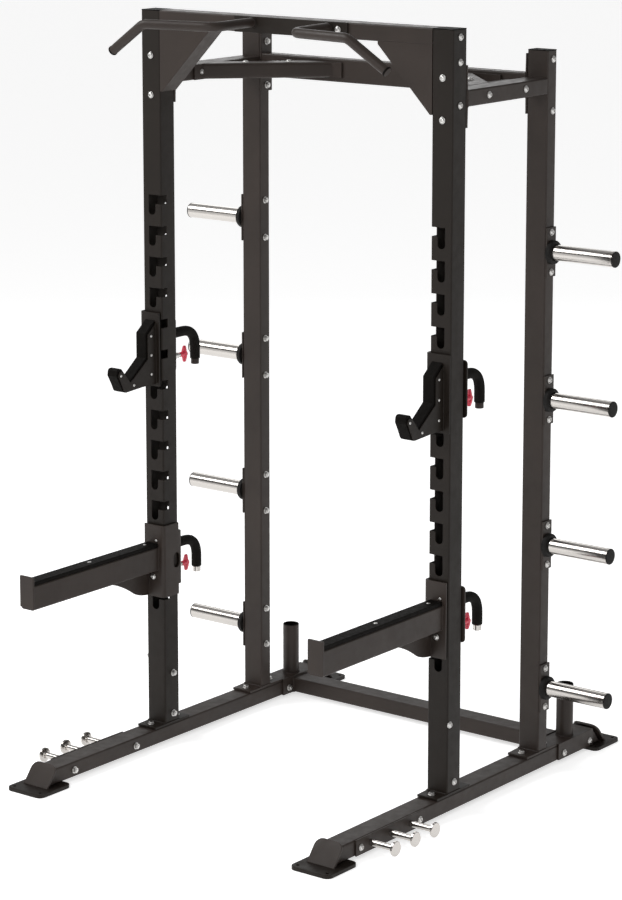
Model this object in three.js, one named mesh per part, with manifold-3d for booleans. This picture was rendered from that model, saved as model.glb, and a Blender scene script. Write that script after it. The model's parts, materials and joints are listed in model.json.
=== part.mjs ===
// Power cage with J-hooks, spotter arms, plate horns, band pegs, bar holders and a bent pull-up bar.
// Millimetres, +Z up, X across the cage (right is +X), Y from the open front (-Y) to the rear (+Y).
// The origin lies on the floor, in the middle of the footprint.
import * as THREE from "three";
import { mergeVertices, mergeGeometries } from "three/addons/utils/BufferGeometryUtils.js";
import Module from "manifold-3d";

const wasm = await Module();
wasm.setup();

// ---- driving dimensions -------------------------------------------------
const GAP = 0.3; // between pieces that touch
const WIDTH = 1200; // over the outer faces of the uprights
const TUBE_W = 75; // width of every frame tube across the cage
const FRONT_D = 70; // front upright, front to back
const REAR_D = 50; // rear upright, front to back
const TUBE_H = 50; // height of the lying tubes
const WALL = 3; // wall of the frame tubes
const CORNER = 5; // outer corner radius of the frame tubes
const POST_X = (WIDTH - TUBE_W) / 2; // centre line of the uprights and rails
const INNER_X = POST_X - TUBE_W / 2; // inner face of the uprights
const OUTER_X = POST_X + TUBE_W / 2; // outer face of the uprights
const FRONT_Y = -115; // centre line of the front uprights
const REAR_Y = 380; // centre line of the rear uprights
const FRONT_TOP = 2406;
const REAR_TOP = 2307;

const PAD = 146; // side of a foot plate
const PAD_H = 12;
const FOOT_Y = 721; // centre of the foot plates, front and rear
const CAP_SLOPE = 0.8; // lean of the end plates, mm along Y per mm of height
const CAP_Y = 729; // where the outer side of an end plate meets the foot plate
const RAIL_Z = PAD_H + GAP;
const RAIL_TOP = RAIL_Z + TUBE_H;
const BASE_PLATE_L = 174; // welded under each upright
const BASE_PLATE_H = 8;

const PITCH = 100; // notch spacing
const NOTCHES = 14;
const NOTCH_TOP = 1818; // upper edge of the highest notch
const NOTCH_H = 64;
const NOTCH_W = 28;
const PIN_HOLE_DROP = 39; // pin hole below the upper edge of its notch
const PIN_HOLE_D = 13;
const LIFT = 38; // how far a seated carriage rises inside its notches
const PEG_D = 24;
const PIN_D = 12;

const BEAM_Z = 2356; // underside of the front top beam
const SIDE_BEAM_Z = 2172; // underside of the side beams and corner braces
const FLANGE_Z = [2110, 2296];

const HOOK_Z = 1200; // lower edge of the hook brackets, seated in notches 5 and 6 from the top
const ARM_Z = 500; // lower edge of the arm brackets, seated in notches 12 and 13
const PLATE = 6; // bracket steel
const BRACKET_H = 240;
const BRACKET_Y = 47; // outer faces of the bracket, in front of and behind the upright's centre
const WRAP_X = 46; // outer face of the bracket's side
const REAR_FREE = 43.5; // free edge of a bracket's rear plate
const PEG_Z = [66.3, 166.3]; // pegs above the lower edge of the bracket
const PIN_Z = 79;
const GRIP_Z = 155;

const HORN_Z = [280, 747, 1214, 1681];

// ---- finishes -----------------------------------------------------------
const finishes = {
  charcoal: { color: 0x2f2a27, roughness: 0.55, metalness: 0.3 },
  graphite: { color: 0x4b4240, roughness: 0.5, metalness: 0.3 },
  chrome: { color: 0xd8d8d8, roughness: 0.15, metalness: 1 },
  black_plastic: { color: 0x1e1c19, roughness: 0.5, metalness: 0 },
  black_rubber: { color: 0x1a1917, roughness: 0.8, metalness: 0 },
  foam: { color: 0x1c1a18, roughness: 0.95, metalness: 0 },
  red_knob: { color: 0xbe3246, roughness: 0.4, metalness: 0 },
};

// ---- building blocks ----------------------------------------------------
function solid(geometry) {
  const bare = geometry.index ? geometry.toNonIndexed() : geometry.clone();
  bare.deleteAttribute("normal");
  bare.deleteAttribute("uv");
  const merged = mergeVertices(bare, 1e-3);
  return new wasm.Manifold(
    new wasm.Mesh({
      numProp: 3,
      vertProperties: merged.attributes.position.array,
      triVerts: new Uint32Array(merged.index.array),
    }),
  );
}

// A block from its bounds; the two values of a pair may come in either order.
function box([x0, x1], [y0, y1], [z0, z1]) {
  const g = new THREE.BoxGeometry(Math.abs(x1 - x0), Math.abs(y1 - y0), Math.abs(z1 - z0));
  g.translate((x0 + x1) / 2, (y0 + y1) / 2, (z0 + z1) / 2);
  return solid(g);
}

// Corners given as [u, v] or [u, v, radius] become an outline with rounded corners.
function outline(corners, steps = 4) {
  const points = [];
  corners.forEach(([u, v, radius], i) => {
    const corner = new THREE.Vector2(u, v);
    if (!radius) {
      points.push(corner);
      return;
    }
    const last = corners[(i + corners.length - 1) % corners.length];
    const next = corners[(i + 1) % corners.length];
    const back = new THREE.Vector2(last[0], last[1]).sub(corner).normalize();
    const ahead = new THREE.Vector2(next[0], next[1]).sub(corner).normalize();
    const half = Math.acos(THREE.MathUtils.clamp(back.dot(ahead), -1, 1)) / 2;
    const reach = radius / Math.tan(half);
    const centre = back.clone().add(ahead).normalize();
    centre.multiplyScalar(radius / Math.sin(half)).add(corner);
    const from = back.multiplyScalar(reach).add(corner).sub(centre);
    const to = ahead.multiplyScalar(reach).add(corner).sub(centre);
    const turn = Math.atan2(from.x * to.y - from.y * to.x, from.dot(to));
    for (let k = 0; k <= steps; k++) {
      const arm = from.clone().rotateAround(new THREE.Vector2(0, 0), (turn * k) / steps);
      points.push(arm.add(centre));
    }
  });
  return new THREE.Shape(points);
}

// A rectangle between two values of each axis, with rounded corners.
function rounded([u0, u1], [v0, v1], radius, steps = 3) {
  return outline([[u0, v0, radius], [u1, v0, radius], [u1, v1, radius], [u0, v1, radius]], steps);
}

// Prisms: an outline in two axes, pushed along the third between two values.
function alongX(shape, a, b) {
  const g = new THREE.ExtrudeGeometry(shape, { depth: Math.abs(b - a), bevelEnabled: false });
  g.applyMatrix4(new THREE.Matrix4().set(0, 0, 1, Math.min(a, b), 1, 0, 0, 0, 0, 1, 0, 0, 0, 0, 0, 1));
  return solid(g);
}
function alongY(shape, a, b) {
  const g = new THREE.ExtrudeGeometry(shape, { depth: Math.abs(b - a), bevelEnabled: false });
  g.applyMatrix4(new THREE.Matrix4().set(1, 0, 0, 0, 0, 0, -1, Math.max(a, b), 0, 1, 0, 0, 0, 0, 0, 1));
  return solid(g);
}
function alongZ(shape, a, b) {
  const g = new THREE.ExtrudeGeometry(shape, { depth: Math.abs(b - a), bevelEnabled: false });
  g.translate(0, 0, Math.min(a, b));
  return solid(g);
}

// Round bars along each axis, from a centre in the other two.
function rodX([a, b], [y, z], radius, sides = 20) {
  const g = new THREE.CylinderGeometry(radius, radius, Math.abs(b - a), sides);
  g.rotateZ(Math.PI / 2);
  g.translate((a + b) / 2, y, z);
  return solid(g);
}
function rodY([a, b], [x, z], radius, sides = 16) {
  const g = new THREE.CylinderGeometry(radius, radius, Math.abs(b - a), sides);
  g.translate(x, (a + b) / 2, z);
  return solid(g);
}
function rodZ([a, b], [x, y], radius, sides = 20) {
  const g = new THREE.CylinderGeometry(radius, radius, Math.abs(b - a), sides);
  g.rotateX(Math.PI / 2);
  g.translate(x, y, (a + b) / 2);
  return solid(g);
}

// A line of straight runs joined by round bends, each corner [x, y, z, bend radius].
function bentPath(corners) {
  const path = new THREE.CurvePath();
  const at = ([x, y, z]) => new THREE.Vector3(x, y, z);
  let start = at(corners[0]);
  for (let i = 1; i < corners.length - 1; i++) {
    const corner = at(corners[i]);
    const back = start.clone().sub(corner).normalize();
    const ahead = at(corners[i + 1]).sub(corner).normalize();
    const reach = corners[i][3] / Math.tan(back.angleTo(ahead) / 2);
    const from = corner.clone().add(back.multiplyScalar(reach));
    const to = corner.clone().add(ahead.multiplyScalar(reach));
    path.add(new THREE.LineCurve3(start, from));
    path.add(new THREE.QuadraticBezierCurve3(from, corner, to));
    start = to;
  }
  path.add(new THREE.LineCurve3(start, at(corners[corners.length - 1])));
  return path;
}
function sweep(path, radius, steps, sides) {
  const ring = new THREE.Shape();
  ring.absarc(0, 0, radius, 0, Math.PI * 2, false);
  const g = new THREE.ExtrudeGeometry(ring, { steps, curveSegments: sides, extrudePath: path });
  return solid(g);
}

const cage = new THREE.Group();
cage.name = "power_cage";

// Adds a solid, built in coordinates local to (x, y, z), as one named node.
function node(name, finish, body, [x, y, z] = [0, 0, 0]) {
  const made = body.getMesh();
  const g = new THREE.BufferGeometry();
  g.setAttribute("position", new THREE.BufferAttribute(new Float32Array(made.vertProperties), 3));
  g.setIndex(new THREE.BufferAttribute(new Uint32Array(made.triVerts), 1));
  g.computeVertexNormals();
  const mesh = new THREE.Mesh(g, new THREE.MeshStandardMaterial(finishes[finish]));
  mesh.name = name;
  mesh.position.set(x, y, z);
  cage.add(mesh);
}

// Round-cornered tube bodies without their bores, along each axis.
function barX([x0, x1], y, z) {
  return alongX(rounded(y, z, CORNER), x0, x1);
}
function barY(x, [y0, y1], z) {
  return alongY(rounded(x, z, CORNER), y0, y1);
}
function barZ(x, y, [z0, z1]) {
  return alongZ(rounded(x, y, CORNER), z0, z1);
}

// ---- feet, rails and uprights -------------------------------------------
// A foot plate with four floor holes and the leaning end plate that closes the rail, one weldment.
function foot(end) {
  const half = PAD / 2;
  const plate = outline([[-half, -half, 20], [half, -half, 20], [half, half, 20], [-half, half, 20]]);
  let body = alongZ(plate, 0, PAD_H);
  for (const x of [-54, 54]) {
    for (const y of [-54, 54]) {
      body = body.subtract(rodZ([-1, PAD_H + 1], [x, y], 5, 10));
    }
  }
  const capHalf = 49.5;
  const lean = Math.atan(CAP_SLOPE);
  const capLength = 59 / Math.cos(lean);
  const cap = new THREE.ExtrudeGeometry(
    outline([[-capHalf, -6], [capHalf, -6], [capHalf, capLength, 25], [-capHalf, capLength, 25]]),
    { depth: 8, bevelEnabled: false },
  );
  cap.rotateX(Math.PI / 2 - lean);
  cap.translate(0, -(CAP_Y - FOOT_Y), PAD_H);
  if (end > 0) {
    cap.rotateZ(Math.PI);
  }
  return body.add(solid(cap).intersect(box([-80, 80], [-90, 90], [2, 200])));
}

const capThickY = 8 * Math.sqrt(1 + CAP_SLOPE * CAP_SLOPE); // end plate measured along Y
const railFoot = CAP_Y - capThickY - 2 * GAP; // lower tip of a mitred rail end
const railHead = railFoot - CAP_SLOPE * TUBE_H;

function rail() {
  const mitre = outline([[-railFoot, 0], [railFoot, 0], [railHead, TUBE_H], [-railHead, TUBE_H]]);
  const half = TUBE_W / 2;
  const bore = box([WALL - half, half - WALL], [-railFoot - 1, railFoot + 1], [WALL, TUBE_H - WALL]);
  return barY([-half, half], [-railFoot, railFoot], [0, TUBE_H])
    .intersect(alongX(mitre, -half - 1, half + 1))
    .subtract(bore);
}

// The plate welded under an upright.
function basePlate() {
  return box([-TUBE_W / 2, TUBE_W / 2], [-BASE_PLATE_L / 2, BASE_PLATE_L / 2], [0, BASE_PLATE_H]);
}

const UPRIGHT_Z = RAIL_TOP + GAP; // underside of the upright's base plate

// side is -1 on the left and +1 on the right; the notches open towards the cage's middle.
function frontUpright(side) {
  const half = TUBE_W / 2;
  const top = FRONT_TOP - UPRIGHT_Z;
  let body = barZ([-half, half], [-FRONT_D / 2, FRONT_D / 2], [BASE_PLATE_H / 2, top]);
  body = body.add(basePlate());
  const boreX = half - WALL;
  const boreY = FRONT_D / 2 - WALL;
  body = body.subtract(box([-boreX, boreX], [-boreY, boreY], [BASE_PLATE_H, top + 1]));
  const w = NOTCH_W / 2;
  const inward = -side * (half + 5);
  for (let i = 0; i < NOTCHES; i++) {
    const upper = NOTCH_TOP - i * PITCH - UPRIGHT_Z;
    const lower = upper - NOTCH_H;
    const slot = outline([
      [side * w, upper],
      [inward, upper],
      [inward, upper - NOTCH_W],
      [-side * w, upper - NOTCH_W],
      [-side * w, lower, w - 0.01],
      [side * w, lower, w - 0.01],
    ], 5);
    body = body.subtract(alongY(slot, -FRONT_D / 2 - 1, -FRONT_D / 2 + NOTCH_W));
    const hole = upper - PIN_HOLE_DROP;
    const back = [boreY - 1, FRONT_D / 2 + 1];
    let bore = rodY(back, [0, hole], PIN_HOLE_D / 2);
    const seated = [HOOK_Z, ARM_Z].some((z) => Math.abs(z + PIN_Z - UPRIGHT_Z - hole) < 2);
    if (seated) {
      // Behind a seated carriage the hole is drawn out upwards by the carriage's lift.
      bore = bore.add(rodY(back, [0, hole + LIFT], PIN_HOLE_D / 2));
      bore = bore.add(box([-PIN_HOLE_D / 2, PIN_HOLE_D / 2], back, [hole, hole + LIFT]));
    }
    body = body.subtract(bore);
  }
  return body;
}

function rearUpright() {
  const half = TUBE_W / 2;
  const top = REAR_TOP - UPRIGHT_Z;
  const bore = box([WALL - half, half - WALL], [WALL - REAR_D / 2, REAR_D / 2 - WALL],
    [BASE_PLATE_H, top + 1]);
  const body = barZ([-half, half], [-REAR_D / 2, REAR_D / 2], [BASE_PLATE_H / 2, top]);
  return body.add(basePlate()).subtract(bore);
}

// ---- beams --------------------------------------------------------------
// The front beam and the two folded gussets welded under its ends.
function frontTopBeam() {
  const x = INNER_X - GAP;
  const y = [-FRONT_D / 2, FRONT_D / 2];
  const bore = box([-x - 1, x + 1], [y[0] + WALL, y[1] - WALL], [BEAM_Z + WALL, FRONT_TOP - WALL]);
  let body = barX([-x, x], y, [BEAM_Z, FRONT_TOP]).subtract(bore);
  for (const s of [-1, 1]) {
    const skin = outline([[s * x, BEAM_Z + 2], [s * 325, BEAM_Z + 2], [s * 325, BEAM_Z - 8],
      [s * (x - 8), 2150], [s * x, 2150]]);
    const hollow = outline([[s * (x + 1), BEAM_Z - 4], [s * 345, BEAM_Z - 4], [s * 345, BEAM_Z - 14],
      [s * (x - 4), 2162], [s * (x + 1), 2162]]);
    const gusset = alongY(skin, ...y).subtract(alongY(hollow, y[0] + 4, y[1] - 4));
    body = body.add(gusset);
  }
  return body;
}

// A side beam with the flange that bolts to the back of the front upright.
function topSideBeam() {
  const half = TUBE_W / 2;
  const front = FRONT_Y + FRONT_D / 2 + GAP;
  const rear = REAR_Y - REAR_D / 2 - GAP;
  const z = [SIDE_BEAM_Z, SIDE_BEAM_Z + TUBE_H];
  const flange = box([-half, half], [front, front + 7], FLANGE_Z);
  const bore = box([WALL - half, half - WALL], [front + 7, rear + 1], [z[0] + WALL, z[1] - WALL]);
  return barY([-half, half], [front + 5, rear], z).add(flange).subtract(bore);
}

// A tube across the cage with an end plate on each inner face.
function crossMember(y, z, plateY, plateZ) {
  const x = INNER_X - GAP;
  let body = barX([-x, x], y, z);
  for (const s of [-1, 1]) {
    body = body.add(box([s * x, s * (x - PLATE)], plateY, plateZ));
  }
  const bore = box([-x - 1, x + 1], [y[0] + WALL, y[1] - WALL], [z[0] + WALL, z[1] - WALL]);
  return body.subtract(bore);
}

// A flat round-edged tube laid across a rear corner at 45 degrees, between its two end plates.
const BRACE_REACH = 254; // from the corner to where its centre line meets either face
function cornerBrace(side) {
  const cx = INNER_X - GAP;
  const cy = REAR_Y - REAR_D / 2 - GAP;
  const z = [SIDE_BEAM_Z, SIDE_BEAM_Z + TUBE_H];
  const half = TUBE_W / 2;
  const middle = [side * (cx - BRACE_REACH / 2), cy - BRACE_REACH / 2];
  // A length of the brace along its own line, cut off where it meets the two faces.
  const length = (shape, past) => {
    const g = new THREE.ExtrudeGeometry(shape, { depth: 600, bevelEnabled: false });
    g.translate(0, 0, -300);
    g.rotateX(Math.PI / 2);
    g.rotateZ((side * Math.PI) / 4);
    g.translate(middle[0], middle[1], 0);
    return solid(g).intersect(box([0, side * (cx + past)], [-600, cy + past], [0, FRONT_TOP]));
  };
  const tube = length(rounded([-half, half], z, 10), 0);
  const bore = length(rounded([WALL - half, half - WALL], [z[0] + WALL, z[1] - WALL], 6), 5);
  const onBeam = box([side * cx, side * (cx - PLATE)], [cy - 95, cy - 340], z);
  const onMember = box([side * (cx - 95), side * (cx - 340)], [cy, cy - PLATE], z);
  return tube.add(onBeam).add(onMember).subtract(bore);
}

// ---- pull-up bar, bar holders, band pegs, horns --------------------------
// The face plate with its two bent grab tubes.
function pullupBar() {
  const face = FRONT_Y - FRONT_D / 2 - GAP;
  let body = box([-217.5, 217.5], [face, face - PLATE], [BEAM_Z, FRONT_TOP]);
  for (const s of [-1, 1]) {
    const path = bentPath([
      [s * 146, face - PLATE / 2, 2388],
      [s * 150, FRONT_Y - 219, 2385, 45],
      [s * 389, FRONT_Y - 270, 2386, 45],
      [s * 526, FRONT_Y - 258, 2294],
    ]);
    body = body.add(sweep(path, 15, 28, 6));
  }
  return body;
}

// A saddle over the rail's end that carries an upright sleeve for a spare bar.
const HOLDER_Y = [REAR_Y + BASE_PLATE_L / 2 + 1, 672];
const SLEEVE_Y = 566;
function barHolder(side) {
  const out = OUTER_X + GAP;
  const z = RAIL_TOP + GAP;
  let body = box([side * (INNER_X + 2), side * (out + 5)], HOLDER_Y, [z, z + 5]);
  body = body.add(box([side * out, side * (out + 5)], HOLDER_Y, [RAIL_Z + 1, z + 5]));
  body = body.add(rodZ([z + 2, 238], [side * POST_X, SLEEVE_Y], 27.5, 24));
  return body.subtract(rodZ([z - 1, 240], [side * POST_X, SLEEVE_Y], 25.5, 24));
}

// A flat plate on the rail with three flanged pegs for bands.
function bandPegs(side) {
  const out = OUTER_X + GAP;
  let body = box([side * out, side * (out + 5)], [-620, -275], [RAIL_Z, RAIL_TOP]);
  for (const y of [-549, -449, -349]) {
    const z = RAIL_Z + TUBE_H / 2;
    body = body.add(rodX([side * (out + 2), side * 693], [y, z], 10, 14));
    body = body.add(rodX([side * 692, side * 700], [y, z], 23, 20));
  }
  return body;
}

// A plate horn: a face plate on the rear upright and a hollow round bar.
const HORN_END = 842;
function plateHorn(side) {
  const out = OUTER_X + GAP;
  const plate = box([side * out, side * (out + PLATE)], [-REAR_D / 2, REAR_D / 2], [-78, 78]);
  const bar = rodX([side * (out + 3), side * HORN_END], [0, 0], 25, 20);
  const bore = rodX([side * (out + PLATE), side * (HORN_END + 1)], [0, 0], 22, 20);
  return plate.add(bar).subtract(bore);
}
function hornCollar(side) {
  const out = OUTER_X + GAP + PLATE + GAP;
  const ring = rodX([side * out, side * (out + 16)], [0, 0], 37.5, 20);
  return ring.subtract(rodX([side * (out - 1), side * (out + 17)], [0, 0], 25.6, 20));
}

// ---- carriages ----------------------------------------------------------
// Local frame: the upright's centre line, at the lower edge of the bracket. wrap is the side (-1 or
// +1 in X) on which the folded plate runs round the upright; free is the front plate's edge on the
// other side and backFree the rear plate's.
function bracket(wrap, free, backFree) {
  const y = BRACKET_Y;
  const channel = outline([
    [-wrap * free, -y],
    [wrap * WRAP_X, -y, 12],
    [wrap * WRAP_X, y, 12],
    [-wrap * backFree, y],
    [-wrap * backFree, y - PLATE],
    [wrap * (WRAP_X - PLATE), y - PLATE, 6],
    [wrap * (WRAP_X - PLATE), PLATE - y, 6],
    [-wrap * free, PLATE - y],
  ]);
  let body = alongZ(channel, 0, BRACKET_H);
  const rearPlate = outline([[-wrap * backFree, 34, 12], [wrap * 60, 34], [wrap * 60, 211],
    [-wrap * backFree, 211, 12]]);
  const around = box([-60, 60], [29, 60], [-1, BRACKET_H + 1]).subtract(alongY(rearPlate, 28, 61));
  body = body.subtract(around);
  for (const z of PEG_Z) {
    body = body.add(rodY([PLATE / 2 - y, -16], [0, z], PEG_D / 2));
  }
  body = body.subtract(rodY([38, 50], [0, PIN_Z], PIN_D / 2 + 0.6));
  // The bent handle leaves the back plate above the pin.
  return body.add(sweep(gripPath(y - 3, 38), 10, 14, 4));
}

// Centre line of a handle, from y = start down to the height "end".
function gripPath(start, end) {
  return bentPath([[0, start, GRIP_Z], [0, 173, GRIP_Z, 63], [0, 173, end]]);
}

// The foam sleeve on a handle.
function grip() {
  const path = gripPath(60, 56);
  return sweep(path, 16.5, 12, 6).subtract(sweep(gripPath(44, 38), 11, 12, 4));
}

// The plastic sheet between a bracket and the upright.
function liner(wrap, free) {
  const front = -FRONT_D / 2 - GAP;
  let body = box([-wrap * (free - 3), wrap * 33], [front, front - 5.4], [4, BRACKET_H - 4]);
  for (const z of PEG_Z) {
    body = body.subtract(rodY([front + 1, front - 7], [0, z], PEG_D / 2 + 0.5));
  }
  return body;
}

// A spring pin with its upright wing knob.
function pin() {
  const wings = outline([
    [-5, PIN_Z - 27, 4],
    [5, PIN_Z - 27, 4],
    [10, PIN_Z - 9, 3],
    [10, PIN_Z + 9, 3],
    [5, PIN_Z + 27, 4],
    [-5, PIN_Z + 27, 4],
    [-10, PIN_Z + 9, 3],
    [-10, PIN_Z - 9, 3],
  ], 3);
  const hub = new THREE.CylinderGeometry(9.5, 7.5, 20, 16);
  hub.translate(0, 106, PIN_Z);
  return rodY([31, 112], [0, PIN_Z], PIN_D / 2)
    .add(alongY(wings, 114, 124))
    .add(solid(hub))
    .add(rodY([122, 128], [0, PIN_Z], 8));
}

// J-hook outline (y, z), and the steel cheeks a little inside it.
const HOOK_CORE = [[-47.3, 216], [-94, 179], [-94, 99], [-172, 38, 8], [-211, 84, 10], [-232, 85, 11],
  [-235, 62], [-214, 25], [-206, 8], [-188, 2], [-108, 7], [-47.3, 7]];
const HOOK_CHEEK = [[-44, 208], [-86, 174], [-86, 95], [-171, 32], [-207, 74, 7], [-225, 76, 7], [-228, 61],
  [-210, 26], [-203, 11], [-188, 4], [-108, 9], [-44, 9]];
const HOOK_X = [-26.5, 21.5]; // outer faces of the cheeks
const CHEEK = 4;

function hookBracket(wrap, free, backFree) {
  const cheek = outline(HOOK_CHEEK);
  const body = bracket(wrap, free, backFree);
  return body.add(alongX(cheek, HOOK_X[0], HOOK_X[0] + CHEEK))
    .add(alongX(cheek, HOOK_X[1] - CHEEK, HOOK_X[1]));
}
function hookCore() {
  return alongX(outline(HOOK_CORE, 5), HOOK_X[0] + CHEEK + GAP, HOOK_X[1] - CHEEK - GAP);
}

// Spotter arm: a box tube on the bracket, a raised end plate and a curved web under its root.
const ARM_Y = -640;
const ARM_W = 50;
const ARM_H = [90, 168];
function armBracket(wrap, free) {
  const half = ARM_W / 2;
  let body = bracket(wrap, free, REAR_FREE).add(barY([-half, half], [ARM_Y - 4, -44], ARM_H));
  body = body.add(box([-27.5, 27.5], [ARM_Y - 8, ARM_Y], [97, 197]));
  const web = new THREE.Shape();
  web.moveTo(-44, ARM_H[0] + 2);
  web.lineTo(-310, ARM_H[0] + 2);
  web.quadraticCurveTo(-200, 78, -119, 20);
  web.quadraticCurveTo(-90, 4, -44, 2);
  body = body.add(alongX(web, -24, -18));
  const bore = box([WALL - half, half - WALL], [ARM_Y, -30], [ARM_H[0] + WALL, ARM_H[1] - WALL]);
  const window = rounded([2.5, 33.5], [91, 141], 15, 4);
  return body.subtract(bore).subtract(alongX(window, wrap * (WRAP_X - 8), wrap * (WRAP_X + 1)));
}
function armStrip() {
  return box([-23, 23], [ARM_Y + 3, -BRACKET_Y - 1], [ARM_H[1] + GAP, ARM_H[1] + 13]);
}

// ---- assembly -----------------------------------------------------------
for (const [hand, s] of [["left", -1], ["right", 1]]) {
  const x = s * POST_X;
  node(`${hand}_base_rail`, "graphite", rail(), [x, 0, RAIL_Z]);
  node(`${hand}_front_foot`, "graphite", foot(-1), [x, -FOOT_Y, 0]);
  node(`${hand}_rear_foot`, "graphite", foot(1), [x, FOOT_Y, 0]);
  node(`${hand}_front_upright`, "charcoal", frontUpright(s), [x, FRONT_Y, UPRIGHT_Z]);
  node(`${hand}_rear_upright`, "graphite", rearUpright(), [x, REAR_Y, UPRIGHT_Z]);
  node(`${hand}_top_side_beam`, "graphite", topSideBeam(), [x, 0, 0]);
  node(`${hand}_corner_brace`, "graphite", cornerBrace(s));
  node(`${hand}_bar_holder`, "graphite", barHolder(s));
  node(`${hand}_band_pegs`, "chrome", bandPegs(s));
  HORN_Z.forEach((z, i) => {
    node(`${hand}_horn_${i + 1}`, "chrome", plateHorn(s), [0, REAR_Y, z]);
    node(`${hand}_horn_collar_${i + 1}`, "black_rubber", hornCollar(s), [0, REAR_Y, z]);
  });
  const hook = [x, FRONT_Y, HOOK_Z];
  const hookFree = s > 0 ? 42.5 : 34;
  node(`${hand}_hook_bracket`, "charcoal", hookBracket(-1, hookFree, s > 0 ? REAR_FREE : 27), hook);
  node(`${hand}_hook_core`, "black_plastic", hookCore(), hook);
  node(`${hand}_hook_liner`, "black_plastic", liner(-1, hookFree), hook);
  node(`${hand}_hook_grip`, "foam", grip(), hook);
  node(`${hand}_hook_pin`, "red_knob", pin(), hook);
  const arm = [x, FRONT_Y, ARM_Z];
  node(`${hand}_arm_bracket`, "graphite", armBracket(-s, 35.5), arm);
  node(`${hand}_arm_strip`, "black_plastic", armStrip(), arm);
  node(`${hand}_arm_liner`, "black_plastic", liner(-s, 35.5), arm);
  node(`${hand}_arm_grip`, "foam", grip(), arm);
  node(`${hand}_arm_pin`, "red_knob", pin(), arm);
}
node("floor_crossbar", "graphite",
  crossMember([525, 600], [RAIL_Z, RAIL_TOP], HOLDER_Y, [RAIL_Z, RAIL_TOP + 8]));
node("rear_top_beam", "graphite",
  crossMember([REAR_Y - 25, REAR_Y + 25], [2157.5, 2232.5], [REAR_Y - 25, REAR_Y + 32], [2107, 2294]));
node("front_top_beam", "graphite", frontTopBeam(), [0, FRONT_Y, 0]);
node("pullup_bar", "charcoal", pullupBar());

export default cage;
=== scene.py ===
"""Power cage: its looks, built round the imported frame.

Metres. X runs across the cage (right is +X), Y from the open front to the rear, Z up.
"""
import json
import math

import bmesh
import bpy
from mathutils import Matrix, Vector


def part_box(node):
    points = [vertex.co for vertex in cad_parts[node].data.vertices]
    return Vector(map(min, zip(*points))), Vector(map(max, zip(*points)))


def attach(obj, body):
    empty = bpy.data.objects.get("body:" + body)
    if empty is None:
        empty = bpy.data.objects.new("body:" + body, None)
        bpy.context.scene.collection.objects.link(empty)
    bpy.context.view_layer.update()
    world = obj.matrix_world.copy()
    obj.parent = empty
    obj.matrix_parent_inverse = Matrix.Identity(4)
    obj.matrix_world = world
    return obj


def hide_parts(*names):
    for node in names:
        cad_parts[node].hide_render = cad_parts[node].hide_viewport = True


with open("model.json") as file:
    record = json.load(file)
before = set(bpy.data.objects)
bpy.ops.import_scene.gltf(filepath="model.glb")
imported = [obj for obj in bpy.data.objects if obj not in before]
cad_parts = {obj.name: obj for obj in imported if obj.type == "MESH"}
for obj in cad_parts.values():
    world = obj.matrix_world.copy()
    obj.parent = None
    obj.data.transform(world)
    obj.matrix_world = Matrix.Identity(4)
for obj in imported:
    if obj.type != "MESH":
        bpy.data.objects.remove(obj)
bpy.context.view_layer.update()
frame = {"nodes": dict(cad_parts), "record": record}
nodes = frame["nodes"]
scene = bpy.context.scene
MM = 0.001

body_of_node = {}
for body_name, members in frame["record"]["behaviour"]["bodies"].items():
    for member in members:
        body_of_node[member] = body_name


# ---- camera, light and floor ---------------------------------------------------
def make_camera():
    azimuth, pitch = 37.589, 10.478
    camera = bpy.data.objects.new("camera", bpy.data.cameras.new("camera"))
    scene.collection.objects.link(camera)
    camera.location = (5.6267, -7.3606, 3.1841)
    camera.rotation_euler = (math.radians(90 - pitch), 0, math.radians(azimuth))
    camera.data.sensor_fit = "AUTO"
    camera.data.sensor_width = 36
    camera.data.lens = 120.51
    camera.data.shift_y = -0.15
    camera.data.clip_end = 200
    scene.camera = camera


def softbox(name, at, towards, size, power):
    data = bpy.data.lights.new(name, "AREA")
    data.shape = "RECTANGLE"
    data.size, data.size_y = size
    data.energy = power
    light = bpy.data.objects.new(name, data)
    light.location = at
    light.rotation_euler = (Vector(towards) - Vector(at)).to_track_quat("-Z", "Y").to_euler()
    scene.collection.objects.link(light)


def make_world():
    """White at the horizon and overhead, with a grey band between them for metal to reflect."""
    world = bpy.data.worlds.new("studio")
    scene.world = world
    world.use_nodes = True
    tree = world.node_tree
    coords = tree.nodes.new("ShaderNodeTexCoord")
    split = tree.nodes.new("ShaderNodeSeparateXYZ")
    ramp = tree.nodes.new("ShaderNodeValToRGB")
    tree.links.new(coords.outputs["Generated"], split.inputs[0])
    tree.links.new(split.outputs["Z"], ramp.inputs["Fac"])
    tree.links.new(ramp.outputs["Color"], tree.nodes["Background"].inputs["Color"])
    stops = ramp.color_ramp.elements
    stops[0].position, stops[0].color = 0.13, (0.92, 0.92, 0.92, 1)
    stops[1].position, stops[1].color = 0.22, (0.13, 0.13, 0.13, 1)
    for position, level in ((0.45, 0.12), (0.66, 0.42), (1.0, 0.45)):
        stops.new(position).color = (level, level, level, 1)
    tree.nodes["Background"].inputs["Strength"].default_value = 1.0


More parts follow.
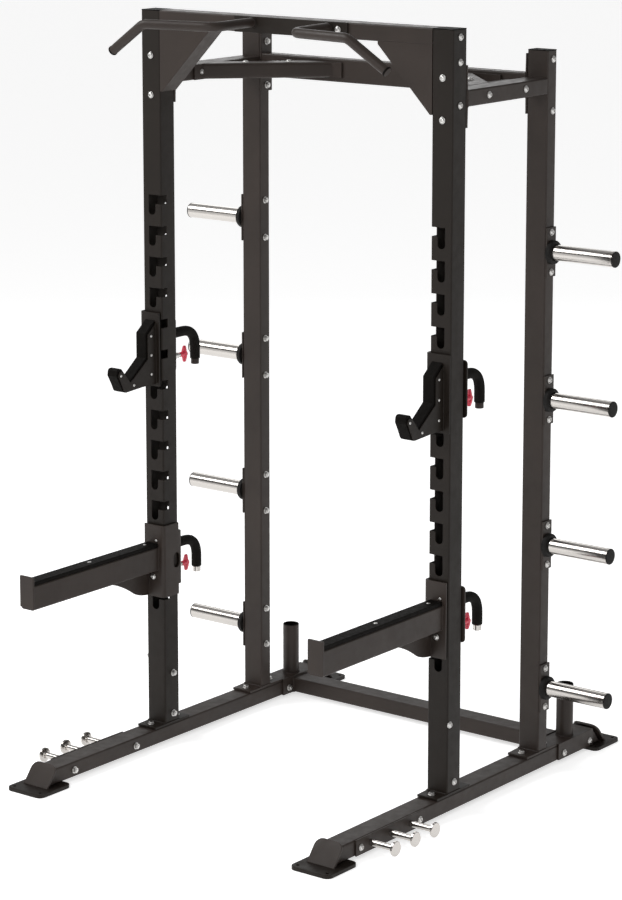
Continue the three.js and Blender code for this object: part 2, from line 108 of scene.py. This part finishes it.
def make_floor():
    bm = bmesh.new()
    bmesh.ops.create_circle(bm, cap_ends=True, segments=96, radius=70)
    mesh = bpy.data.meshes.new("floor")
    bm.to_mesh(mesh)
    bm.free()
    floor = bpy.data.objects.new("floor", mesh)
    floor.location.z = -0.0003
    scene.collection.objects.link(floor)
    pale = bpy.data.materials.new("floor_pale")
    pale.use_nodes = True
    surface = pale.node_tree.nodes["Principled BSDF"]
    surface.inputs["Base Color"].default_value = (0.86, 0.86, 0.86, 1)
    surface.inputs["Roughness"].default_value = 0.9
    surface.inputs["Specular IOR Level"].default_value = 0.1
    surface.inputs["Emission Color"].default_value = (1, 1, 1, 1)
    surface.inputs["Emission Strength"].default_value = 0.62
    mesh.materials.append(pale)


make_camera()
make_world()
make_floor()
softbox("key", (1.6, -6.4, 4.2), (0, 0, 1.0), (3.4, 2.6), 120)
softbox("fill", (7.0, 0.8, 3.2), (0, 0.2, 1.2), (2.4, 3.0), 20)
softbox("top", (-3.4, -2.6, 5.4), (0, -0.2, 0.4), (3.2, 3.2), 210)
softbox("back", (-4.2, 5.2, 4.2), (0, 0.2, 1.2), (3.0, 3.0), 50)
scene.view_settings.view_transform = "Standard"


# ---- finishes ------------------------------------------------------------------
def finish(name, colour, rough, metallic=0.0, vary=0.14, patch=5.0, spread=0.06,
           grain=900.0, depth=0.08, cells=None, **sockets):
    """A surface whose tone drifts over "patch", whose gloss wanders by "spread", with fine relief.

    grain is the relief's noise per metre and depth its height in millimetres. cells adds a
    second, pitted relief of that many pores per metre. sockets are constants of the shader.
    """
    material = bpy.data.materials.new(name)
    material.use_nodes = True
    tree = material.node_tree
    surface = tree.nodes["Principled BSDF"]
    coords = tree.nodes.new("ShaderNodeTexCoord").outputs["Object"]

    def noise(scale, detail):
        node = tree.nodes.new("ShaderNodeTexNoise")
        node.inputs["Scale"].default_value = scale
        node.inputs["Detail"].default_value = detail
        tree.links.new(coords, node.inputs["Vector"])
        return node.outputs["Fac"]

    tone = tree.nodes.new("ShaderNodeValToRGB")
    low, high = tone.color_ramp.elements
    low.position, high.position = 0.3, 0.7
    low.color = [c * (1 - vary) for c in colour] + [1]
    high.color = [c * (1 + vary) for c in colour] + [1]
    tree.links.new(noise(patch, 4), tone.inputs["Fac"])
    tree.links.new(tone.outputs["Color"], surface.inputs["Base Color"])

    gloss = tree.nodes.new("ShaderNodeMapRange")
    gloss.inputs["From Min"].default_value = 0.3
    gloss.inputs["From Max"].default_value = 0.7
    gloss.inputs["To Min"].default_value = max(rough - spread, 0.02)
    gloss.inputs["To Max"].default_value = rough + spread
    tree.links.new(noise(patch * 7, 5), gloss.inputs["Value"])
    tree.links.new(gloss.outputs["Result"], surface.inputs["Roughness"])

    relief = tree.nodes.new("ShaderNodeBump")
    relief.inputs["Strength"].default_value = 1.0
    relief.inputs["Distance"].default_value = depth * MM
    tree.links.new(noise(grain, 2), relief.inputs["Height"])
    if cells:
        pores = tree.nodes.new("ShaderNodeTexVoronoi")
        pores.inputs["Scale"].default_value = cells
        tree.links.new(coords, pores.inputs["Vector"])
        pitted = tree.nodes.new("ShaderNodeBump")
        pitted.inputs["Strength"].default_value = 0.8
        pitted.inputs["Distance"].default_value = 0.5 * MM
        tree.links.new(pores.outputs["Distance"], pitted.inputs["Height"])
        tree.links.new(relief.outputs["Normal"], pitted.inputs["Normal"])
        relief = pitted
    tree.links.new(relief.outputs["Normal"], surface.inputs["Normal"])

    surface.inputs["Metallic"].default_value = metallic
    for socket, value in sockets.items():
        surface.inputs[socket.replace("_", " ")].default_value = value
    return material


CHARCOAL = finish("charcoal_powder_coat", (0.0104, 0.0072, 0.0050), 0.48, grain=700, depth=0.09,
                  Specular_IOR_Level=0.2)
GRAPHITE = finish("graphite_powder_coat", (0.0270, 0.0196, 0.0160), 0.45, grain=700, depth=0.09,
                  Specular_IOR_Level=0.25)
# painted light: a bare-steel tone, made lighter than the powder coat to stand in for light reaching the
# insides of the uprights
PAINTED_LIGHT_INSIDE = finish("inside_steel_painted_lighter", (0.038, 0.033, 0.029), 0.55, vary=0.2, patch=9, grain=500, depth=0.06,
              Specular_IOR_Level=0.3)
CHROME = finish("polished_chrome", (0.53, 0.505, 0.48), 0.17, 1.0, vary=0.03, patch=9, spread=0.03,
                grain=260, depth=0.01)
ZINC = finish("zinc_hardware", (0.60, 0.59, 0.575), 0.30, 1.0, vary=0.06, patch=60, spread=0.07,
              grain=1400, depth=0.02)
PLASTIC = finish("black_wear_plastic", (0.0034, 0.0027, 0.0021), 0.62, vary=0.2, patch=14,
                 spread=0.08, grain=420, depth=0.05, Specular_IOR_Level=0.06)
RUBBER = finish("black_rubber", (0.0055, 0.0048, 0.0042), 0.66, vary=0.2, patch=20, spread=0.08,
                grain=1600, depth=0.06, Specular_IOR_Level=0.22)
FOAM = finish("foam_grip", (0.0058, 0.0050, 0.0042), 0.90, vary=0.25, patch=45, spread=0.08,
              grain=1100, depth=0.16, cells=520, Specular_IOR_Level=0.16)
RED = finish("red_knob_plastic", (0.62, 0.022, 0.060), 0.28, vary=0.1, patch=40, spread=0.06,
             grain=900, depth=0.03, Coat_Weight=0.35, Coat_Roughness=0.12)


# ---- mesh tools ----------------------------------------------------------------
def piece(name, bm, material, body, stands_for=(), crease=42):
    """Turns a mesh in place into a named piece that rides on a body."""
    bmesh.ops.recalc_face_normals(bm, faces=bm.faces)
    for face in bm.faces:
        face.smooth = True
    limit = math.radians(crease)
    for edge in bm.edges:
        edge.smooth = len(edge.link_faces) == 2 and edge.calc_face_angle() < limit
    mesh = bpy.data.meshes.new(name)
    bm.to_mesh(mesh)
    bm.free()
    for m in material if isinstance(material, list) else [material]:
        mesh.materials.append(m)
    made = bpy.data.objects.new(name, mesh)
    scene.collection.objects.link(made)
    normals = made.modifiers.new("flat_faces_stay_flat", "WEIGHTED_NORMAL")
    normals.keep_sharp = True
    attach(made, body)
    if stands_for:
        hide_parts(*stands_for)
    return made


def frame_along(axis, at):
    """A matrix that stands local +Z along "axis" at a point given in millimetres."""
    turn = Vector((0, 0, 1)).rotation_difference(Vector(axis)).to_matrix().to_4x4()
    return Matrix.Translation(Vector(at) * MM) @ turn


def bridge(bm, a, b):
    if len(a) == 1 or len(b) == 1:
        tip, ring = (a[0], b) if len(a) == 1 else (b[0], a)
        for i, v in enumerate(ring):
            bm.faces.new((tip, v, ring[(i + 1) % len(ring)]))
        return
    for i in range(len(a)):
        j = (i + 1) % len(a)
        bm.faces.new((a[i], a[j], b[j], b[i]))


def lathe(bm, profile, place, sides=32, closed=False):
    """Rings of (radius, height) in millimetres round local +Z; (radius, height, "hex") has six sides."""
    rings = []
    for radius, height, *shape in profile:
        if radius == 0:
            rings.append([bm.verts.new(place @ Vector((0, 0, height * MM)))])
            continue
        ring = []
        for i in range(sides):
            angle = 2 * math.pi * i / sides
            reach = radius
            if shape:
                reach *= math.cos(math.pi / 6) / math.cos(angle % (math.pi / 3) - math.pi / 6)
            at = Vector((reach * math.cos(angle), reach * math.sin(angle), height)) * MM
            ring.append(bm.verts.new(place @ at))
        rings.append(ring)
    for a, b in zip(rings, rings[1:]):
        bridge(bm, a, b)
    if closed:
        bridge(bm, rings[-1], rings[0])


def block(bm, low, high, edge=1.0, segments=2):
    """A block between two corners (mm) with eased edges."""
    made = bmesh.ops.create_cube(bm, size=1)["verts"]
    low, high = Vector(low) * MM, Vector(high) * MM
    for v in made:
        v.co = Vector(low[i] + (v.co[i] + 0.5) * (high[i] - low[i]) for i in range(3))
    edges = list({e for v in made for e in v.link_edges})
    bmesh.ops.bevel(bm, geom=edges, offset=edge * MM, segments=segments, profile=0.5,
                    affect="EDGES")


def prism(bm, outline, near, far, place, edge, segments):
    """An (x, z) outline pushed along Y between two values (mm), with rounded rims."""
    ring = [bm.verts.new(place @ (Vector((u, near, w)) * MM)) for u, w in outline]
    face = bm.faces.new(ring)
    grown = bmesh.ops.extrude_face_region(bm, geom=[face])["geom"]
    tips = [g for g in grown if isinstance(g, bmesh.types.BMVert)]
    bmesh.ops.translate(bm, vec=Vector((0, (far - near) * MM, 0)), verts=tips)
    rims = [e for v in set(ring) | set(tips) for e in v.link_edges
            if (e.verts[0] in tips) == (e.verts[1] in tips)]
    bmesh.ops.bevel(bm, geom=list(set(rims)), offset=edge * MM, segments=segments, profile=0.5,
                    affect="EDGES")


def bent_path(corners, steps=9):
    """Points (mm) along straight runs joined by bends; a corner is [x, y, z, bend radius]."""
    points = [Vector(corners[0][:3])]
    start = points[0]
    for i in range(1, len(corners) - 1):
        corner = Vector(corners[i][:3])
        back = (start - corner).normalized()
        ahead = (Vector(corners[i + 1][:3]) - corner).normalized()
        reach = corners[i][3] / math.tan(back.angle(ahead) / 2)
        a, b = corner + back * reach, corner + ahead * reach
        for k in range(steps + 1):
            t = k / steps
            points.append(a * (1 - t) ** 2 + corner * 2 * t * (1 - t) + b * t * t)
        start = b
    points.append(Vector(corners[-1][:3]))
    return points


def carried_frames(points):
    """A point and two crosswise directions at each step of a path, without twist."""
    tangents = []
    for i in range(len(points)):
        before, after = points[max(i - 1, 0)], points[min(i + 1, len(points) - 1)]
        tangents.append((after - before).normalized())
    side = tangents[0].orthogonal().normalized()
    frames = []
    for i, (point, tangent) in enumerate(zip(points, tangents)):
        if i:
            side = tangents[i - 1].rotation_difference(tangent) @ side
        side = (side - tangent * side.dot(tangent)).normalized()
        frames.append((point, side, tangent.cross(side), tangent))
    return frames


def tube(bm, points, radius, sides=24, place=Matrix.Identity(4), bore=None, lip=1.2):
    """A round bar along a path (mm) with rounded ends; with a bore it is a sleeve."""
    frames = carried_frames(points)

    def ring(frame_at, reach, shift=0.0):
        point, u, v, along = frame_at
        made = []
        for i in range(sides):
            angle = 2 * math.pi * i / sides
            at = point + along * shift + u * (reach * math.cos(angle)) + v * (reach * math.sin(angle))
            made.append(bm.verts.new(place @ (at * MM)))
        return made

    rings = [ring(frames[0], radius - lip), ring(frames[0], radius - lip * 0.3, lip * 0.3),
             ring(frames[0], radius, lip)]
    rings += [ring(f, radius) for f in frames[1:-1]]
    rings += [ring(frames[-1], radius, -lip), ring(frames[-1], radius - lip * 0.3, -lip * 0.3),
              ring(frames[-1], radius - lip)]
    for a, b in zip(rings, rings[1:]):
        bridge(bm, a, b)
    if bore:
        inner = [ring(f, bore) for f in reversed(frames)]
        for a, b in zip([rings[-1]] + inner, inner + [rings[0]]):
            bridge(bm, a, b)
        return
    bm.faces.new(rings[0])
    bm.faces.new(rings[-1])


def eased_copy(node, edge=0.9, limit=48, segments=2):
    """A CAD node's mesh with its flat faces merged and its sharp edges eased by "edge" mm.

    Merged faces with many corners are cut up again, because easing their edges can fold them over.
    """
    bm = bmesh.new()
    bm.from_mesh(nodes[node].data)
    bmesh.ops.remove_doubles(bm, verts=bm.verts, dist=2e-6)
    bmesh.ops.dissolve_limit(bm, angle_limit=math.radians(1), verts=bm.verts, edges=bm.edges)
    bmesh.ops.triangulate(bm, faces=[f for f in bm.faces if len(f.verts) > 4])
    sharp = [e for e in bm.edges
             if len(e.link_faces) == 2 and e.calc_face_angle() > math.radians(limit)]
    bmesh.ops.bevel(bm, geom=sharp, offset=edge * MM, segments=segments, profile=0.5,
                    affect="EDGES", clamp_overlap=False)
    return bm


def dress(node, material, edge=0.9, limit=48):
    piece(node + "_skin", eased_copy(node, edge, limit), material, body_of_node[node], [node])


def rectangle(axis, value, first, second):
    """The four corners of a rectangle (mm) in the plane axis = value, closed."""
    (a0, a1), (b0, b1) = first, second
    corners = [(a0, b0), (a1, b0), (a1, b1), (a0, b1)]
    order = {"x": (2, 0, 1), "y": (0, 2, 1), "z": (0, 1, 2)}[axis]
    loop = []
    for a, b in corners + corners[:1]:
        flat = (a, b, value)
        loop.append(Vector(flat[i] for i in order))
    return loop


def welds(name, body, lines, material, radius=2.4):
    """Rippled beads laid along open or closed lines of points (mm)."""
    bm = bmesh.new()
    for line in lines:
        for a, b in zip(line, line[1:]):
            a, b = Vector(a), Vector(b)
            steps = max(2, round((b - a).length / 2.6))
            along = (b - a).normalized()
            side = along.orthogonal().normalized()
            other = along.cross(side)
            rings = []
            for k in range(steps + 1):
                reach = radius * (1.0 + (0.13 if k % 2 else -0.05))
                at = a.lerp(b, k / steps)
                rings.append([bm.verts.new((at + side * (reach * math.cos(t * math.pi / 4))
                                            + other * (reach * math.sin(t * math.pi / 4))) * MM)
                              for t in range(8)])
            for p, q in zip(rings, rings[1:]):
                bridge(bm, p, q)
            bm.faces.new(rings[0])
            bm.faces.new(rings[-1])
    return piece(name, bm, material, body, crease=75)


# ---- hardware ------------------------------------------------------------------
DOME = [(0, -1), (10.6, -1), (10.6, 1.3), (10.2, 1.7), (9.0, 1.8), (8.9, 3.0), (8.2, 4.4), (6.6, 5.8),
        (4.6, 6.5), (3.7, 6.4, "hex"), (3.6, 3.6, "hex"), (0, 3.2)]
HEX = [(0, -1), (11.5, -1), (11.5, 1.5), (11.2, 1.8), (9.6, 1.9), (9.6, 2.2, "hex"), (9.6, 7.4, "hex"),
       (8.6, 8.2), (7.6, 8.4), (0, 8.4)]
NUT = [(0, -1), (11.0, -1), (11.0, 1.4), (9.2, 1.6), (9.2, 1.8, "hex"), (9.2, 8.2, "hex"), (8.2, 9.0),
       (5.0, 9.0), (5.0, 11.5), (4.2, 12.0), (0, 12.0)]
STRIP_SCREW = [(0, -0.8), (6.6, -0.8), (6.6, 0.2), (6.0, 0.9), (4.0, 1.3), (2.4, 1.3), (2.2, 1.2, "hex"),
               (2.2, 0.2, "hex"), (0, 0.1)]
SCREW = [(0, -0.8), (4.6, -0.8), (4.6, 0.5), (4.2, 1.5), (3.0, 2.2), (1.9, 2.3), (1.7, 2.2, "hex"),
         (1.7, 1.0, "hex"), (0, 0.9)]


def hardware(name, body, fasteners):
    """One piece of several fasteners, each (profile, place in mm, direction it faces)."""
    bm = bmesh.new()
    for profile, at, axis in fasteners:
        lathe(bm, profile, frame_along(axis, at), sides=24)
    return piece(name, bm, ZINC, body)


# ---- frame tubes ---------------------------------------------------------------
FRONT_Y, REAR_Y, POST_X, INNER_X, OUTER_X = -115, 380, 562.5, 525, 600
POST_HALF, FRONT_HALF, REAR_HALF = 37.5, 35.0, 25.0
PLATE_X = 518.7  # inner faces of the end plates of the rear beams
CAP_LIP = 3.0
HOLDER_Y = 566
HORN_Z = (280, 747, 1214, 1681)
PEG_Y = (-549, -449, -349)
HOOK_Z, ARM_Z = 1200, 500
PIN_Z, HANDLE_Z, HANDLE_Y = 79, 155, 173  # in a carriage's own frame
HANDS = (("left", -1), ("right", 1))


def upright(node, material):
    """A powder-coated upright whose inner faces get a bare-steel tone painted lighter to stand in for
    light reaching inside the tube, shortened at the top by the lip of its plastic cap.
    """
    low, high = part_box(node)
    top = high.z
    bm = eased_copy(node)
    for v in bm.verts:
        if v.co.z > top - 0.0015:
            v.co.z -= CAP_LIP * MM
    depth = FRONT_HALF if "front" in node else REAR_HALF
    x = (low.x + high.x) / 2 / MM
    y = FRONT_Y if "front" in node else REAR_Y
    z = top / MM
    # painted light: faces on the tube's inner walls take the lighter inside tone, which stands in for
    # light reaching inside the tube
    for face in bm.faces:
        at = face.calc_center_median() / MM - Vector((x, y, 0))
        faces_in = at.x * face.normal.x + at.y * face.normal.y < 0
        if faces_in and abs(at.x) < 36 and abs(at.y) < depth - 1.5 and abs(face.normal.z) < 0.3:
            face.material_index = 1
    piece(node + "_skin", bm, [material, PAINTED_LIGHT_INSIDE], body_of_node[node], [node])
    cap = bmesh.new()
    lid = (0.3, z - CAP_LIP + 0.1, z, 1.6, 3)
    plug = (3.2, z - 18, z - CAP_LIP + 0.3, 2, 2)
    for inset, bottom, ceiling, edge, segments in (lid, plug):
        half, deep = POST_HALF - inset, depth - inset
        block(cap, (x - half, y - deep, bottom), (x + half, y + deep, ceiling), edge, segments)
    piece(node + "_cap", cap, PLASTIC, body_of_node[node])


for hand, s in HANDS:
    upright(f"{hand}_front_upright", CHARCOAL)
    upright(f"{hand}_rear_upright", GRAPHITE)
    dress(f"{hand}_base_rail", GRAPHITE)
    dress(f"{hand}_top_side_beam", GRAPHITE)
    dress(f"{hand}_corner_brace", GRAPHITE)
    dress(f"{hand}_bar_holder", GRAPHITE)
    for end in ("front", "rear"):
        node = f"{hand}_{end}_foot"
        foot = eased_copy(node, 1.4, 40)
        # painted shade: faces below 12.5 mm (the pad) get the darker charcoal coat, though pad and end
        # plate share one graphite paint; the pad's top only catches less light
        for face in foot.faces:
            if face.calc_center_median().z < 0.0125:
                face.material_index = 1
        piece(node + "_skin", foot, [GRAPHITE, CHARCOAL], body_of_node[node], [node])
dress("floor_crossbar", GRAPHITE)
dress("rear_top_beam", GRAPHITE)
dress("front_top_beam", GRAPHITE)

for hand, s in HANDS:
    x = s * POST_X
    out, inn = s * OUTER_X, s * INNER_X
    front, rear, up = (0, -1, 0), (0, 1, 0), (0, 0, 1)
    outward, inward = (s, 0, 0), (-s, 0, 0)
    hardware(f"{hand}_front_upright_bolts", "frame", [
        (DOME, (x, -150, 2262), front), (DOME, (x, -150, 2137), front),
        (DOME, (out, -113, 2381), outward), (DOME, (out, -113, 2307), outward),
        (DOME, (out, -113, 2180), outward), (DOME, (out, -139, 290), outward),
        (DOME, (out, -113, 102), outward), (NUT, (inn, -110, 236), inward),
        (NUT, (inn, -110, 98), inward), (NUT, (inn, -90, 2177), inward),
    ])
    hardware(f"{hand}_base_plate_bolts", "frame", [
        (HEX, (x, -178, 70.6), up), (HEX, (x, -52, 70.6), up),
        (HEX, (x, 317, 70.6), up), (HEX, (x, 443, 70.6), up),
    ])
    hardware(f"{hand}_side_beam_bolts", "frame", [
        (DOME, (out, 39, 2199), outward), (DOME, (out, 235, 2199), outward),
        (DOME, (x + s * 16, -72.4, 2270), rear), (DOME, (x + s * 16, -72.4, 2138), rear),
        (DOME, (x - s * 16, -72.4, 2270), rear), (DOME, (x - s * 16, -72.4, 2138), rear),
        (NUT, (inn, 49, 2197), inward), (NUT, (inn, 235, 2197), inward),
    ])
    hardware(f"{hand}_rear_upright_bolts", "frame", [
        (DOME, (out, 385, 2278), outward), (DOME, (out, 385, 2119), outward),
        (NUT, (s * PLATE_X, 384, 2270), inward), (NUT, (s * PLATE_X, 384, 2126), inward),
    ])
    hardware(f"{hand}_brace_bolts", "frame", [
        (DOME, (s * 438, 173, 2222), up), (DOME, (s * 337, 269, 2222), up),
    ])
    hardware(f"{hand}_crossbar_bolts", "frame", [
        (DOME, (s * 605.3, 501, 31), outward), (DOME, (s * 605.3, 652, 31), outward),
        (NUT, (s * PLATE_X, 499, 34), inward), (NUT, (s * PLATE_X, 652, 34), inward),
    ])


for hand, s in HANDS:
    x = s * POST_X
    across = (x - POST_HALF, x + POST_HALF)
    welds(f"{hand}_front_upright_weld", "frame", [rectangle("z", 71, across, (-150, -80))], CHARCOAL)
    welds(f"{hand}_rear_upright_weld", "frame", [rectangle("z", 71, across, (355, 405))], GRAPHITE)
    welds(f"{hand}_side_beam_weld", "frame", [rectangle("y", -72.5, across, (2172, 2222))], GRAPHITE)
    foot_lines = []
    for e in (-1, 1):
        tip = e * 717.5
        foot_lines.append([(x - 44, tip - e * 1.5, 12.4), (x + 44, tip - e * 1.5, 12.4)])
    welds(f"{hand}_foot_welds", "frame", foot_lines, GRAPHITE, 2.0)
    ring = [(x + 27.6 * math.cos(t * math.pi / 12), HOLDER_Y + 27.6 * math.sin(t * math.pi / 12), 67.8)
            for t in range(25)]
    welds(f"{hand}_bar_holder_weld", "frame", [ring], GRAPHITE)
welds("crossbar_welds", "frame",
      [rectangle("x", s * 518.6, (525, 600), (12.6, 62.3)) for s in (-1, 1)], GRAPHITE)
welds("rear_beam_welds", "frame",
      [rectangle("x", s * 518.6, (355, 405), (2157.5, 2232.5)) for s in (-1, 1)], GRAPHITE)


# ---- bar holder liner, horns, band pegs ----------------------------------------
for hand, s in HANDS:
    x = s * POST_X
    liner = bmesh.new()
    lathe(liner, [(25.3, 160), (25.3, 237.8), (26.9, 238), (26.9, 239.4), (26.2, 240), (24.2, 240),
                  (23.6, 239.4), (23.6, 160)], frame_along((0, 0, 1), (x, HOLDER_Y, 0)), 40, closed=True)
    piece(f"{hand}_bar_holder_liner", liner, PLASTIC, "frame")

    for i, z in enumerate(HORN_Z, 1):
        node = f"{hand}_horn_{i}"
        place = frame_along((s, 0, 0), (s * 600.3, REAR_Y, z))
        plate = bmesh.new()
        block(plate, (min(s * 600.3, s * 606.3), 355, z - 78),
              (max(s * 600.3, s * 606.3), 405, z + 78), 1.2)
        piece(node + "_plate", plate, GRAPHITE, "frame", [node])
        rod = bmesh.new()
        lathe(rod, [(0, 5), (25, 5), (25, 237.2), (24.4, 238), (0, 238)], place, 48)
        piece(node + "_rod", rod, CHROME, "frame")
        cap = bmesh.new()
        lathe(cap, [(0, 236), (24.6, 236.4), (25.2, 237.4), (25.2, 239.6), (24.4, 241.0), (20, 241.6),
                    (0, 241.7)], place, 48)
        piece(node + "_cap", cap, RUBBER, "frame")
        ring = bmesh.new()
        lathe(ring, [(25.4, 6.6), (36.2, 6.6), (37.4, 7.8), (37.4, 18.4), (35.4, 21.4), (31, 22.5),
                     (25.9, 22.3)], place, 48, closed=True)
        piece(f"{hand}_horn_collar_{i}_ring", ring, RUBBER, "frame", [f"{hand}_horn_collar_{i}"])
        hardware(node + "_bolts", "frame", [
            (profile, (s * face, REAR_Y, z + rise), (s * way, 0, 0))
            for profile, face, way in ((DOME, 606.3, 1), (NUT, INNER_X, -1)) for rise in (62.5, -62.5)
        ])

    plate = bmesh.new()
    block(plate, (min(s * 600.3, s * 605.3), -620, 12.3), (max(s * 600.3, s * 605.3), -275, 62.3), 1.2)
    piece(f"{hand}_band_peg_plate", plate, GRAPHITE, "frame", [f"{hand}_band_pegs"])
    pegs = bmesh.new()
    for y in PEG_Y:
        lathe(pegs, [(0, 4), (10, 4), (10, 88), (11.5, 91), (21.8, 91.6), (23, 92.6), (23, 98.4),
                     (21.8, 99.6), (0, 99.7)], frame_along((s, 0, 0), (s * 600.3, y, 37.3)), 32)
    piece(f"{hand}_band_peg_rods", pegs, CHROME, "frame")
    hardware(f"{hand}_band_peg_bolts", "frame", [
        (DOME, (s * 605.3, -596, 35), (s, 0, 0)), (DOME, (s * 605.3, -299, 35), (s, 0, 0)),
        (NUT, (s * INNER_X, -596, 35), (-s, 0, 0)), (NUT, (s * INNER_X, -299, 35), (-s, 0, 0)),
    ])


# ---- pull-up bar ---------------------------------------------------------------
plate = bmesh.new()
block(plate, (-217.5, -156.3, 2356), (217.5, -150.3, 2406), 1.4)
piece("pullup_plate", plate, CHARCOAL, "frame", ["pullup_bar"])
for hand, s in HANDS:
    line = bent_path([[s * 146, -153.3, 2388], [s * 150, -334, 2385, 45],
                      [s * 389, -385, 2386, 45], [s * 526, -373, 2294]])
    grab = bmesh.new()
    tube(grab, line, 15, 32)
    piece(f"{hand}_pullup_tube", grab, GRAPHITE, "frame")
    end, before = line[-1], line[-2]
    along = (end - before).normalized()
    plug = bmesh.new()
    lathe(plug, [(0, -6), (15.6, -6), (15.9, -5.5), (15.9, -1.2), (15.0, 0), (0, 0.4)],
          frame_along(along, end - along * 0.6), 32)
    piece(f"{hand}_pullup_plug", plug, PLASTIC, "frame")
    root = bmesh.new()
    lathe(root, [(0, -1), (17.8, -1), (17.6, 1.5), (16.4, 4.0), (14.8, 5.0), (0, 5.0)],
          frame_along((0, -1, 0), (s * 146, -156.3, 2388)), 32)
    piece(f"{hand}_pullup_weld", root, CHARCOAL, "frame")
hardware("pullup_bolts", "frame", [(DOME, (s * 182, -156.3, 2383), (0, -1, 0)) for s in (-1, 1)])


# ---- carriages -----------------------------------------------------------------
def carriage(kind, hand, s, z0, steel):
    """The handle, grip, pin and fixings that hook and arm carriages share."""
    body = f"{hand}_{kind}"
    x = s * POST_X
    origin = Matrix.Translation(Vector((x, FRONT_Y, z0)) * MM)
    dress(body + "_bracket", steel, 1.1)
    dress(body + "_liner", PLASTIC, 0.6)

    line = bent_path([[0, 60, HANDLE_Z], [0, HANDLE_Y, HANDLE_Z, 63], [0, HANDLE_Y, 56]], 14)
    foam = bmesh.new()
    tube(foam, line, 16.5, 28, origin, bore=11, lip=2.2)
    grip = piece(body + "_grip_foam", foam, FOAM, body, [body + "_grip"])
    ferrule = bmesh.new()
    lathe(ferrule, [(0, -0.5), (15, -0.5), (15, 3), (13.5, 4.2), (12.6, 12.4), (0, 12.4)],
          origin @ frame_along((0, 1, 0), (0, 47, HANDLE_Z)), 32)
    piece(body + "_handle_ferrule", ferrule, ZINC, body)
    stub = bmesh.new()
    lathe(stub, [(0, 0), (11.6, 0), (13.4, 1.4), (13.4, 15.6), (12.6, 17.4), (0, 17.4)],
          origin @ frame_along((0, 0, 1), (0, HANDLE_Y, 37.8)), 32)
    piece(body + "_handle_end", stub, CHROME if kind == "arm" else GRAPHITE, body)

    housing = bmesh.new()
    lathe(housing, [(6.6, 0.2), (12.4, 0.2, "hex"), (12.4, 6.6, "hex"), (11.6, 7.4), (9.6, 7.6),
                    (10.4, 10), (10.4, 36.4), (9.6, 37.6), (6.6, 37.6)],
          origin @ frame_along((0, 1, 0), (0, 47, PIN_Z)), 24, closed=True)
    piece(body + "_pin_housing", housing, ZINC, body)
    shaft = bmesh.new()
    lathe(shaft, [(0, 31), (4.6, 31), (6, 33), (6, 101), (0, 101)],
          origin @ frame_along((0, 1, 0), (0, 0, PIN_Z)), 24)
    piece(body + "_pin_shaft", shaft, CHROME, body + "_pin")
    knob = bmesh.new()
    wing = [(4.8, 23.6), (3.6, 26.1), (1.3, 27), (-1.3, 27), (-3.6, 26.1), (-4.8, 23.6), (-7.0, 17),
            (-9.2, 10.4), (-9.9, 6.5), (-10.0, 0)]
    outline = wing + [(-u, -w) for u, w in wing]
    prism(knob, outline, 114, 124, origin @ Matrix.Translation((0, 0, PIN_Z * MM)), 2.6, 3)
    lathe(knob, [(0, 96), (7.0, 96), (7.6, 96.8), (9.3, 112), (9.3, 123.5), (8.8, 126.4), (7.0, 127.8),
                 (0, 128)], origin @ frame_along((0, 1, 0), (0, 0, PIN_Z)), 32)
    piece(body + "_pin_knob", knob, RED, body + "_pin", [body + "_pin"])


HOOK_SIDES = (-26.5, 21.5)
for hand, s in HANDS:
    carriage("hook", hand, s, HOOK_Z, CHARCOAL)
    dress(f"{hand}_hook_core", PLASTIC, 2.0, 30)
    origin = Vector((s * POST_X, FRONT_Y, HOOK_Z))
    screws = []
    for y, z in ((-70, 168), (-70, 106), (-70, 44), (-218, 62), (-156, 22)):
        screws.append((SCREW, origin + Vector((HOOK_SIDES[1], y, z)), (1, 0, 0)))
        screws.append((SCREW, origin + Vector((HOOK_SIDES[0], y, z)), (-1, 0, 0)))
    hardware(f"{hand}_hook_screws", f"{hand}_hook", screws)
    welds(f"{hand}_hook_weld", f"{hand}_hook", [
        [origin + Vector((u, -47.2, 12)), origin + Vector((u, -47.2, 205))] for u in HOOK_SIDES
    ], CHARCOAL, 2.0)

    carriage("arm", hand, s, ARM_Z, GRAPHITE)
    dress(f"{hand}_arm_strip", PLASTIC, 1.6)
    origin = Vector((s * POST_X, FRONT_Y, ARM_Z))
    hardware(f"{hand}_arm_screws", f"{hand}_arm", [
        (STRIP_SCREW, origin + Vector((0, y, 181)), (0, 0, 1)) for y in (-87, -356, -622)
    ])
    hardware(f"{hand}_arm_bolts", f"{hand}_arm", [
        (DOME, origin + Vector((0, -47, 67)), (0, -1, 0)),
        (SCREW, origin + Vector((14, -47, 188)), (0, -1, 0)),
    ])
    root = [origin + v for v in rectangle("y", -47.2, (-25, 25), (90, 168))]
    web = [origin + Vector((-21, -47.4, 88)), origin + Vector((-21, -47.4, 5))]
    end = [origin + v for v in rectangle("y", -640, (-25, 25), (98, 168))][:2]
    welds(f"{hand}_arm_welds", f"{hand}_arm", [root, web, end], GRAPHITE, 2.2)
